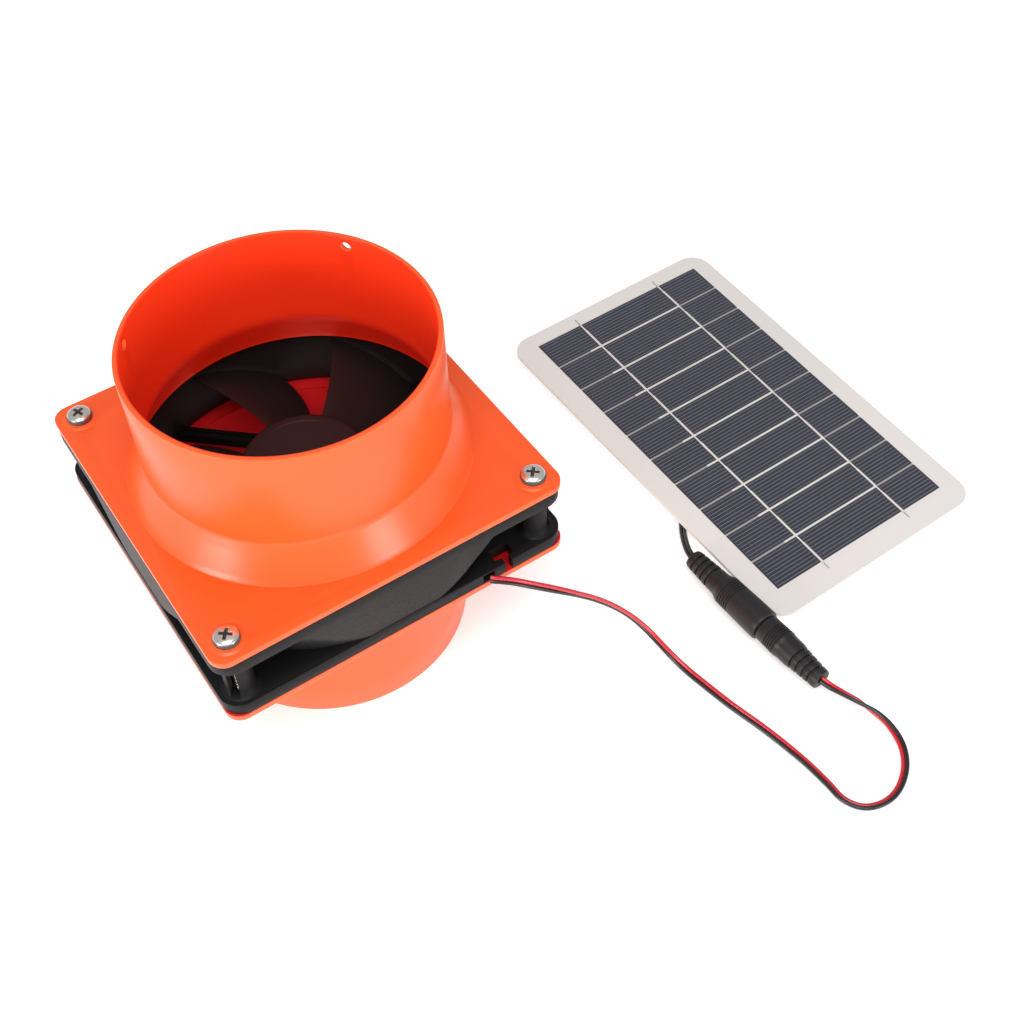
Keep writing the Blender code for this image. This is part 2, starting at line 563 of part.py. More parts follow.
def connector(materials):
    mating = SOCKET_LENGTH
    mouth_r = BARREL_R[1] + 0.25 * MM
    socket = (
        (1.6 * MM, 0), (3.0 * MM, 0), (3.5 * MM, 0.6 * MM), (3.95 * MM, 5.5 * MM), (4.35 * MM, 13.8 * MM),
        (4.6 * MM, 15.5 * MM), (5.35 * MM, 17.2 * MM), (5.6 * MM, 20.0 * MM), (5.82 * MM, 33.0 * MM),
        (5.82 * MM, 36.8 * MM), (5.4 * MM, mating), (mouth_r, mating), (mouth_r, mating - 12.4 * MM),
        (1.6 * MM, mating - 12.4 * MM),
    )
    body = add_object("dc_socket_body", lathed(socket, 18), materials["black"], along_connector(0))
    for number, place in enumerate((3.0, 5.6, 8.2, 10.8), 1):
        for side in (0, 180):
            slot = box((2.9 * MM, -2.6 * MM, (place - 0.4) * MM), (6 * MM, 2.6 * MM, (place + 0.4) * MM))
            cut(body, slot, f"socket_slot_{number}_{side}", along_connector(0) @ turned(side + 60))
    pin = (
        (0, mating - 15.4 * MM), (1.45 * MM, mating - 15.4 * MM), (1.45 * MM, mating - 12.6 * MM),
        (0.85 * MM, mating - 12.3 * MM), (0.85 * MM, mating - 3.2 * MM), (0.5 * MM, mating - 2.6 * MM),
        (0, mating - 2.6 * MM),
    )
    add_object("dc_socket_pin", lathed(pin, 14), materials["steel"], along_connector(0))
    start = mating + 0.3 * MM
    plug = (
        (BARREL_R[1] + 0.15 * MM, 0), (4.8 * MM, 0), (5.05 * MM, 0.3 * MM), (5.2 * MM, 6.0 * MM),
        (5.25 * MM, 8.2 * MM),
        (4.9 * MM, 9.6 * MM), (4.8 * MM, 14.5 * MM), (4.4 * MM, 17.2 * MM), (3.85 * MM, 24.5 * MM),
        (3.75 * MM, PLUG_LENGTH - 0.4 * MM), (3.4 * MM, PLUG_LENGTH), (1.6 * MM, PLUG_LENGTH),
        (1.6 * MM, 8.3 * MM),
        (BARREL_R[1] + 0.15 * MM, 8.3 * MM),
    )
    body = add_object("dc_plug_body", lathed(plug, 18), materials["black"], along_connector(start))
    for number, place in enumerate((16.2, 19.0, 21.6), 1):
        for side in (0, 180):
            slot = box((2.8 * MM, -3.0 * MM, (place - 0.4) * MM), (6 * MM, 3.0 * MM, (place + 0.4) * MM))
            cut(body, slot, f"plug_slot_{number}_{side}", along_connector(start) @ turned(side + 60))
    barrel = (
        (BARREL_R[0], -BARREL_REACH), (BARREL_R[1] - 0.2 * MM, -BARREL_REACH),
        (BARREL_R[1], -BARREL_REACH + 0.3 * MM), (BARREL_R[1], 8.0 * MM), (BARREL_R[0], 8.0 * MM),
    )
    add_object("dc_plug_barrel", lathed(barrel, 16), materials["steel"], along_connector(start))


def panel_placement():
    turn = Matrix.Rotation(PANEL_YAW, 4, "Z") @ Matrix.Rotation(PANEL_PITCH, 4, "X")
    return Matrix.Translation(PANEL_ORIGIN) @ turn @ Matrix.Rotation(PANEL_ROLL, 4, "Y")


def panel(materials):
    place = panel_placement()
    half_x, half_y = PANEL_SIZE[0] / 2, PANEL_SIZE[1] / 2
    outline = rounded_box_outline(half_x, half_y, PANEL_CORNER)
    board = add_object("panel_board", prism(outline, *BOARD_Z), materials["cream"], place)
    for number, x in enumerate((-6 * MM, 6 * MM), 1):
        hole = disc(1.2 * MM, -5 * MM, 5 * MM, 12)
        cut(board, hole, f"board_hole_{number}", place @ moved(BOX_CENTRE[0] + x, BOX_CENTRE[1]))
    inset = 0.5 * MM
    cover = rounded_box_outline(half_x - inset, half_y - inset, PANEL_CORNER - inset)
    add_object("cover_laminate", prism(cover, *COVER_Z), materials["clear"], place)
    laid = place @ moved(*CELL_CENTRE) @ Matrix.Rotation(CELL_SKEW, 4, "Z")
    half_x, half_y = CELL_WIDTH / 2, CELL_LENGTH / 2
    for number in range(CELLS):
        y = (number - (CELLS - 1) / 2) * CELL_PITCH
        cell = box((-half_x, y - half_y, CELL_Z[0]), (half_x, y + half_y, CELL_Z[1]))
        add_object(f"solar_cell_{number + 1:02d}", cell, materials["cell"], laid)
    for number, x in enumerate(RIBBON_X, 1):
        ribbon = box(
            (x - RIBBON_WIDTH / 2, -RIBBON_LENGTH / 2, RIBBON_Z[0]),
            (x + RIBBON_WIDTH / 2, RIBBON_LENGTH / 2, RIBBON_Z[1]),
        )
        add_object(f"busbar_ribbon_{number}", ribbon, materials["ribbon"], laid)
    junction_box(place, materials)


def junction_box(place, materials):
    top = BOARD_Z[0] - 0.1 * MM
    bottom = top - BOX_SIZE[2]
    here = place @ moved(*BOX_CENTRE)
    half_x, half_y = BOX_SIZE[0] / 2, BOX_SIZE[1] / 2
    outline = rounded_box_outline(half_x, half_y, 3 * MM, 4)
    case = add_object("junction_box", prism(outline, bottom + 1.5 * MM, top), materials["black"], here)
    inside = rounded_box_outline(half_x - BOX_WALL, half_y - BOX_WALL, 1.5 * MM, 3)
    cut(case, prism(inside, bottom - 2 * MM, top - 1.2 * MM), "junction_box_hollow", here)
    for number, x in enumerate((-6 * MM, 6 * MM), 1):
        cut(case, disc(1.2 * MM, top - 3 * MM, top + 3 * MM, 12), f"box_hole_{number}", here @ moved(x, 0))
    inlet = disc(PANEL_LEAD_R + 0.3 * MM, -4 * MM, 4 * MM, 12)
    inlet_place = Matrix.Translation(Vector(PANEL_LEAD_ROUTE[1]) * MM + Vector((0, 3 * MM, 0.25 * MM)))
    inlet_place = inlet_place @ Matrix.Rotation(math.pi / 2, 4, "X")
    cut(case, inlet, "box_inlet", inlet_place)
    add_object("junction_box_lid", prism(outline, bottom, bottom + 1.2 * MM), materials["black"], here)
    diode = disc(1.3 * MM, -2.6 * MM, 2.6 * MM, 14)
    lying = here @ moved(2 * MM, 3 * MM, top - 3.4 * MM) @ Matrix.Rotation(math.pi / 2, 4, "Y")
    add_object("blocking_diode", diode, materials["chip"], lying)


def build():
    clear_scene()
    materials = {
        "orange": make_material("orange_moulding", (0.93, 0.14, 0.03), 0.38),
        "black": make_material("black_moulding", (0.035, 0.032, 0.03), 0.42),
        "steel": make_material("bright_steel", (0.78, 0.77, 0.75), 0.22, 1.0),
        "brass": make_material("bearing_brass", (0.72, 0.52, 0.22), 0.3, 1.0),
        "magnet": make_material("bonded_magnet", (0.09, 0.085, 0.08), 0.6),
        "core": make_material("core_steel", (0.35, 0.35, 0.36), 0.4, 1.0),
        "insulator": make_material("bobbin_plastic", (0.7, 0.66, 0.52), 0.5),
        "copper": make_material("winding_copper", (0.72, 0.32, 0.12), 0.32, 1.0),
        "board": make_material("motor_circuit_board", (0.05, 0.24, 0.1), 0.5),
        "chip": make_material("chip_plastic", (0.03, 0.03, 0.032), 0.45),
        "cream": make_material("cream_panel_board", (0.78, 0.74, 0.7), 0.45),
        "cell": make_material("silicon_cell", (0.045, 0.05, 0.07), 0.3),
        "ribbon": make_material("tinned_ribbon", (0.75, 0.75, 0.74), 0.35, 1.0),
        "clear": make_material("clear_laminate", (0.9, 0.9, 0.88), 0.2),
        "paper": make_material("label_paper", (0.8, 0.8, 0.78), 0.55),
        "red": make_material("red_lead", (0.6, 0.03, 0.05), 0.4),
        "wire": make_material("black_lead", (0.02, 0.02, 0.02), 0.42),
    }
    duct_flange("lower_duct_flange", LOWER_PLATE_Z, False, materials["orange"])
    duct_flange("upper_duct_flange", UPPER_PLATE_Z, True, materials["orange"])
    fan_frame(materials["black"])
    impeller(materials["black"])
    motor(materials)
    label = disc(LABEL_R, FRAME_Z[0] + 0.15 * MM, FRAME_Z[0] + 0.4 * MM, 28)
    add_object("base_label", label, materials["paper"])
    for number, (x, y) in enumerate(corners(), 1):
        clamp_screw(number, x, y, materials["steel"])
        clamp_nut(number, x, y, materials["steel"])
    connector(materials)
    panel(materials)
    cord("fan_lead", FAN_LEAD_ROUTE, FAN_LEAD_R, materials["red"])
    cord("panel_lead", PANEL_LEAD_ROUTE, PANEL_LEAD_R, materials["wire"])
    cord("strut_lead", STRUT_LEAD_ROUTE, 0.9 * MM, materials["red"])
    for obj in bpy.data.objects:
        obj.location -= Vector(MIDDLE)


build()
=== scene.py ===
"""Solar attic fan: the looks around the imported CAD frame.

Every piece is in metres in the frame's own axes. The fan's axis stands at FAN, and the panel's
own axes are x across it, y along it and z out of its face.
"""

import math

import bmesh
import bpy
from mathutils import Matrix, Vector


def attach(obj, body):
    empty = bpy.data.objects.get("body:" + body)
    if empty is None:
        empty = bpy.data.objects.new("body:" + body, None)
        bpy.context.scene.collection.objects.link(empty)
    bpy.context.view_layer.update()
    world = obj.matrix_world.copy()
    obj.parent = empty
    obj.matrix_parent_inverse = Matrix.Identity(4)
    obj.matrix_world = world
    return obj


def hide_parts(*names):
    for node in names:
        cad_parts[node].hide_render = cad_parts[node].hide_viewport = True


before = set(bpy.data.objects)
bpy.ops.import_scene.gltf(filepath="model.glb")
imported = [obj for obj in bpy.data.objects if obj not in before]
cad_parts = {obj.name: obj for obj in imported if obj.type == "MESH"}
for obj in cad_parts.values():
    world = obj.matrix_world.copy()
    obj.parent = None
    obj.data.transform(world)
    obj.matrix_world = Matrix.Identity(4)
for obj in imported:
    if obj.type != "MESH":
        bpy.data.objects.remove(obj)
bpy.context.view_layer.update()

MM = 0.001
FAN = Matrix.Translation((-78.53 * MM, 20.74 * MM, 0))
PLATE_TOP = 78.0
PLATE_BOTTOM = 48.0
PLATE_HALF = 60
PLATE_THICK = 2.2
FRAME_LOW = 50.5
FRAME_HIGH = 75.5
FRAME_FLANGE = 4.5
SCREW_AT = 52.5
SCREW_HOLE = 2.35
CORNERS = ((1, -1), (1, 1), (-1, 1), (-1, -1))

CAMERA_PLACE = (-186.46, -276.61, 417.56)
CAMERA_AZIMUTH = -31.874
CAMERA_ELEVATION = 50.548
CAMERA_ROLL = -2.506
CAMERA_LENS = 51.22
CAMERA_SENSOR = 36
WORLD_STRENGTH = 0.46
FLOOR_HALF_SIZE = 60.0
FLOOR_DROP = 0.00005


# ---------------------------------------------------------------- camera and light

def add_camera():
    azimuth = math.radians(CAMERA_AZIMUTH)
    elevation = math.radians(CAMERA_ELEVATION)
    roll = math.radians(CAMERA_ROLL)
    back = Vector((
        math.sin(azimuth) * math.cos(elevation),
        -math.cos(azimuth) * math.cos(elevation),
        math.sin(elevation),
    ))
    right = Vector((math.cos(azimuth), math.sin(azimuth), 0))
    up = back.cross(right)
    turned_right = right * math.cos(roll) + up * math.sin(roll)
    turned_up = up * math.cos(roll) - right * math.sin(roll)
    data = bpy.data.cameras.new("camera")
    data.lens = CAMERA_LENS
    data.sensor_width = CAMERA_SENSOR
    data.clip_start = 0.01
    camera = bpy.data.objects.new("camera", data)
    bpy.context.scene.collection.objects.link(camera)
    turn = Matrix((turned_right, turned_up, back)).transposed().to_4x4()
    camera.matrix_world = Matrix.Translation(Vector(CAMERA_PLACE) * MM) @ turn
    bpy.context.scene.camera = camera


def add_area(name, place, target, size, power):
    data = bpy.data.lights.new(name, "AREA")
    data.shape = "RECTANGLE"
    data.size, data.size_y = size
    data.energy = power
    light = bpy.data.objects.new(name, data)
    bpy.context.scene.collection.objects.link(light)
    direction = Vector(target) - Vector(place)
    light.matrix_world = Matrix.Translation(place) @ direction.to_track_quat("-Z", "Y").to_matrix().to_4x4()


def add_studio():
    world = bpy.data.worlds.new("studio")
    bpy.context.scene.world = world
    world.use_nodes = True
    world.node_tree.nodes["Background"].inputs["Color"].default_value = (1, 1, 1, 1)
    world.node_tree.nodes["Background"].inputs["Strength"].default_value = WORLD_STRENGTH
    add_area("left_softbox", (-1.16, -0.19, 0.27), (-0.1, 0.0, 0.08), (0.4, 0.36), 5.4)
    add_area("right_softbox", (0.24, -1.1, 0.24), (-0.08, 0.0, 0.08), (0.36, 0.36), 4.0)
    add_area("top_softbox", (-0.35, -0.5, 1.25), (0.0, 0.0, 0.05), (0.9, 0.9), 10.5)
    bpy.context.scene.view_settings.view_transform = "Standard"
    bpy.context.scene.view_settings.look = "None"


# ---------------------------------------------------------------- leads

FAN_LEAD_ROUTE = (
    (30.1, -60.8, 52.4), (31.1, -61.7, 52.2), (33.2, -62.8, 51.5), (36.7, -64.6, 50.0),
    (41.2, -66.7, 47.3), (48.1, -69.1, 42.3), (55.7, -71.4, 36.3), (62.9, -73.0, 29.4),
    (69.2, -75.1, 22.4), (74.3, -78.1, 15.8), (77.8, -82.0, 10.2), (80.1, -86.8, 5.7),
    (81.7, -92.2, 2.7), (82.8, -98.1, 1.5), (83.9, -104.5, 1.35), (86.2, -117.0, 1.35),
    (89.7, -131.8, 1.35), (92.2, -146.6, 1.35), (93.0, -157.1, 1.35), (93.3, -164.5, 1.35),
    (96.7, -170.1, 1.35), (103.0, -172.6, 1.35), (110.1, -171.6, 1.35), (117.4, -166.9, 1.35),
    (122.2, -159.9, 1.35), (123.9, -151.0, 1.35), (122.1, -142.4, 1.8), (118.7, -136.0, 3.5),
    (116.1, -132.1, 5.2), (114.77, -128.7, 6.0),
)
PANEL_LEAD_ROUTE = (
    (150.5, 15.8, 4.4), (150.2, 11.5, 4.1), (148.5, 5.0, 2.6), (144.5, -4.0, 1.5),
    (139.0, -14.0, 1.3), (133.5, -25.0, 1.3), (128.0, -35.5, 1.3), (123.1, -44.0, 1.6),
    (118.6, -50.0, 2.7), (115.2, -55.3, 4.2), (112.7, -60.3, 5.6), (111.77, -64.0, 6.0),
)
# How far round its own line the pair has turned, in degrees, at shares of the lead's length:
# 0 puts the first wire level on the left of the way it runs, 90 puts it on top.
FAN_LEAD_TWIST = (
    (0.0, 62), (0.08, 66), (0.16, 105), (0.25, 110), (0.32, 70), (0.42, 25), (0.55, 6),
    (0.63, -8), (0.7, -22), (0.84, -24), (0.9, -75), (0.95, -160), (1.0, -205),
)
PANEL_LEAD_TWIST = ((0.0, 0), (0.7, 10), (1.0, 40))


def smooth_route(route, per_leg):
    """Points of a smooth curve through the route, which is in millimetres from the fan's axis."""
    points = [FAN @ (Vector(p) * MM) for p in route]
    ends = [2 * points[0] - points[1]] + points + [2 * points[-1] - points[-2]]
    out = []
    for i in range(1, len(ends) - 2):
        a, b, c, d = ends[i - 1 : i + 3]
        for step in range(per_leg):
            t = step / per_leg
            out.append(
                0.5 * (2 * b + (c - a) * t + (2 * a - 5 * b + 4 * c - d) * t**2
                       + (3 * b - a - 3 * c + d) * t**3)
            )
    out.append(points[-1])
    return out


def route_length(points):
    return sum((b - a).length for a, b in zip(points, points[1:]))


def between(table, share):
    for (a, low), (b, high) in zip(table, table[1:]):
        if share <= b:
            t = (share - a) / (b - a)
            t = t * t * (3 - 2 * t)
            return low + (high - low) * t
    return table[-1][1]


def wire(bm, centres, radius, slot, sides=14):
    """One sleeved wire round its centre line, with a flat cap at each end."""
    rings = []
    count = len(centres)
    for i, centre in enumerate(centres):
        along = (centres[min(i + 1, count - 1)] - centres[max(i - 1, 0)]).normalized()
        level = along.cross(Vector((0, 0, 1)))
        level = level.normalized() if level.length > 1e-6 else Vector((1, 0, 0))
        above = level.cross(along).normalized()
        ring = []
        for k in range(sides):
            angle = 2 * math.pi * k / sides
            ring.append(bm.verts.new(centre + (level * math.cos(angle) + above * math.sin(angle)) * radius))
        rings.append(ring)
    for a, b in zip(rings, rings[1:]):
        for k in range(sides):
            face = bm.faces.new((a[k], a[(k + 1) % sides], b[(k + 1) % sides], b[k]))
            face.material_index = slot
    for ring in (rings[0], rings[-1]):
        bm.faces.new(ring).material_index = slot


def twin_lead(name, route, twist, materials, wire_radius, spacing):
    """A flat two-wire lead: two sleeved wires side by side along one route."""
    points = smooth_route(route, 6)
    total = route_length(points)
    offsets = []
    done = 0.0
    for i, point in enumerate(points):
        along = (points[min(i + 1, len(points) - 1)] - points[max(i - 1, 0)]).normalized()
        left = Vector((0, 0, 1)).cross(along).normalized()
        above = along.cross(left)
        turn = math.radians(between(twist, done / total))
        side = left * math.cos(turn) + above * math.sin(turn)
        lowest = min(side.z, -side.z) * spacing / 2
        lift = max(0.0, wire_radius + 0.00005 - (point.z + lowest))
        offsets.append((point + Vector((0, 0, lift)), side))
        if i + 1 < len(points):
            done += (points[i + 1] - point).length
    bm = bmesh.new()
    for slot, sign in ((0, 1), (1, -1)):
        wire(bm, [centre + side * (sign * spacing / 2) for centre, side in offsets], wire_radius, slot)
    lead = object_from(name, bm, materials[0], None, 60)
    lead.data.materials.append(materials[1])
    return lead, points


# ---------------------------------------------------------------- modelling

def object_from(name, bm, material, placement=None, sharp=35):
    bmesh.ops.remove_doubles(bm, verts=bm.verts, dist=1e-7)
    bmesh.ops.recalc_face_normals(bm, faces=bm.faces)
    mesh = bpy.data.meshes.new(name)
    bm.to_mesh(mesh)
    bm.free()
    obj = bpy.data.objects.new(name, mesh)
    bpy.context.scene.collection.objects.link(obj)
    if material:
        mesh.materials.append(material)
    mesh.shade_smooth()
    mesh.set_sharp_from_angle(angle=math.radians(sharp))
    if placement:
        obj.matrix_world = placement
    return obj


def settled(obj, sharp=35):
    """Applies the object's modifiers, and removes the cutters that they used."""
    helpers = [m.object for m in obj.modifiers if m.type == "BOOLEAN"]
    bpy.context.view_layer.update()
    mesh = bpy.data.meshes.new_from_object(obj.evaluated_get(bpy.context.evaluated_depsgraph_get()))
    obj.modifiers.clear()
    obj.data = mesh
    mesh.shade_smooth()
    mesh.set_sharp_from_angle(angle=math.radians(sharp))
    for helper in helpers:
        if helper.name in bpy.data.objects:
            bpy.data.objects.remove(helper, do_unlink=True)
    return obj


def boolean(obj, bm, operation="DIFFERENCE", placement=None):
    other = object_from(f"{obj.name}_{operation.lower()}", bm, None, placement)
    modifier = obj.modifiers.new(operation, "BOOLEAN")
    modifier.operation = operation
    modifier.solver = "EXACT"
    modifier.object = other


def soften(obj, width, segments=2, limit=40):
    modifier = obj.modifiers.new("soft edges", "BEVEL")
    modifier.width = width * MM
    modifier.segments = segments
    modifier.limit_method = "ANGLE"
    modifier.angle_limit = math.radians(limit)
    modifier.use_clamp_overlap = True


def lathe(profile, steps, bm=None):
    """Spins a closed loop of (radius, height) in millimetres round Z."""
    bm = bm or bmesh.new()
    verts = [bm.verts.new((r * MM, 0, z * MM)) for r, z in profile]
    on_axis = [r < 1e-6 for r, _ in profile]
    edges = []
    for index, vert in enumerate(verts):
        after = (index + 1) % len(verts)
        if not (on_axis[index] and on_axis[after]):
            edges.append(bm.edges.new((vert, verts[after])))
    bmesh.ops.spin(
        bm, geom=verts + edges, cent=(0, 0, 0), axis=(0, 0, 1), angle=2 * math.pi, steps=steps, use_merge=True
    )
    bmesh.ops.remove_doubles(bm, verts=bm.verts, dist=1e-7)
    return bm


def disc(radius, z0, z1, steps=48):
    return lathe(((0, z0), (radius, z0), (radius, z1), (0, z1)), steps)


def rounded(profile, radius, steps=4):
    """The closed profile with each corner rounded by up to radius."""
    out = []
    count = len(profile)
    for i in range(count):
        before, here, after = (Vector(profile[j % count]) for j in (i - 1, i, i + 1))
        if here.x < 1e-6:
            out.append(tuple(here))
            continue
        a, b = before - here, after - here
        reach = min(radius, a.length * 0.45, b.length * 0.45)
        start, end = here + a.normalized() * reach, here + b.normalized() * reach
        for k in range(steps + 1):
            t = k / steps
            out.append(tuple(start * (1 - t) ** 2 + here * 2 * t * (1 - t) + end * t**2))
    return out


def prism(outline, z0, z1, bm=None):
    bm = bm or bmesh.new()
    face = bm.faces.new([bm.verts.new((x * MM, y * MM, z0 * MM)) for x, y in outline])
    made = bmesh.ops.extrude_face_region(bm, geom=[face])
    tops = [item for item in made["geom"] if isinstance(item, bmesh.types.BMVert)]
    bmesh.ops.translate(bm, verts=tops, vec=(0, 0, (z1 - z0) * MM))
    return bm


def box(x0, x1, y0, y1, z0, z1, bm=None):
    return prism(((x0, y0), (x1, y0), (x1, y1), (x0, y1)), z0, z1, bm)


def rounded_rectangle(half_x, half_y, radius, steps=10):
    outline = []
    for quarter, (sx, sy) in enumerate(((1, 1), (-1, 1), (-1, -1), (1, -1))):
        for step in range(steps + 1):
            angle = (quarter + step / steps) * math.pi / 2
            outline.append((
                sx * (half_x - radius) + radius * math.cos(angle),
                sy * (half_y - radius) + radius * math.sin(angle),
            ))
    return outline


def moved(x, y, z=0.0):
    return Matrix.Translation((x * MM, y * MM, z * MM))


def turned(degrees, axis="Z"):
    return Matrix.Rotation(math.radians(degrees), 4, axis)


def merged(name, objects, material=None):
    """One object from several settled ones, in the frame's axes."""
    bm = bmesh.new()
    materials = []
    for obj in objects:
        part = obj.data.copy()
        part.transform(obj.matrix_world)
        start = len(bm.faces)
        bm.from_mesh(part)
        bm.faces.ensure_lookup_table()
        slots = [material] if material else list(obj.data.materials)
        for face in bm.faces[start:]:
            wanted = slots[min(face.material_index, len(slots) - 1)]
            if wanted not in materials:
                materials.append(wanted)
            face.material_index = materials.index(wanted)
        bpy.data.objects.remove(obj, do_unlink=True)
    mesh = bpy.data.meshes.new(name)
    bm.to_mesh(mesh)
    bm.free()
    for item in materials:
        mesh.materials.append(item)
    out = bpy.data.objects.new(name, mesh)
    bpy.context.scene.collection.objects.link(out)
    return out


def stands_for(obj, body, slot, *nodes):
    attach(obj, body)
    if nodes:
        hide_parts(*nodes)
    return obj


# ---------------------------------------------------------------- materials

def surface(name, colour, other, roughness, spread, mottle=18.0, grain=900.0, bump=0.02, **fixed):
    """A Principled material whose colour drifts between two tones and whose gloss and surface are uneven."""
    material = bpy.data.materials.new(name)
    material.use_nodes = True
    nodes, links = material.node_tree.nodes, material.node_tree.links
    shader = nodes["Principled BSDF"]
    for socket, value in fixed.items():
        shader.inputs[socket.replace("_", " ")].default_value = value
    coords = nodes.new("ShaderNodeTexCoord")
    broad = nodes.new("ShaderNodeTexNoise")
    broad.inputs["Scale"].default_value = mottle
    broad.inputs["Detail"].default_value = 3.0
    links.new(coords.outputs["Object"], broad.inputs["Vector"])
    tone = nodes.new("ShaderNodeMix")
    tone.data_type = "RGBA"
    tone.inputs["A"].default_value = (*colour, 1.0)
    tone.inputs["B"].default_value = (*other, 1.0)
    links.new(broad.outputs["Fac"], tone.inputs["Factor"])
    links.new(tone.outputs["Result"], shader.inputs["Base Color"])
    fine = nodes.new("ShaderNodeTexNoise")
    fine.inputs["Scale"].default_value = grain
    fine.inputs["Detail"].default_value = 4.0
    links.new(coords.outputs["Object"], fine.inputs["Vector"])
    gloss = nodes.new("ShaderNodeMapRange")
    gloss.inputs["To Min"].default_value = roughness - spread
    gloss.inputs["To Max"].default_value = roughness + spread
    links.new(fine.outputs["Fac"], gloss.inputs["Value"])
    links.new(gloss.outputs["Result"], shader.inputs["Roughness"])
    relief = nodes.new("ShaderNodeBump")
    relief.inputs["Strength"].default_value = bump
    relief.inputs["Distance"].default_value = 0.0004
    links.new(fine.outputs["Fac"], relief.inputs["Height"])
    links.new(relief.outputs["Normal"], shader.inputs["Normal"])
    return material


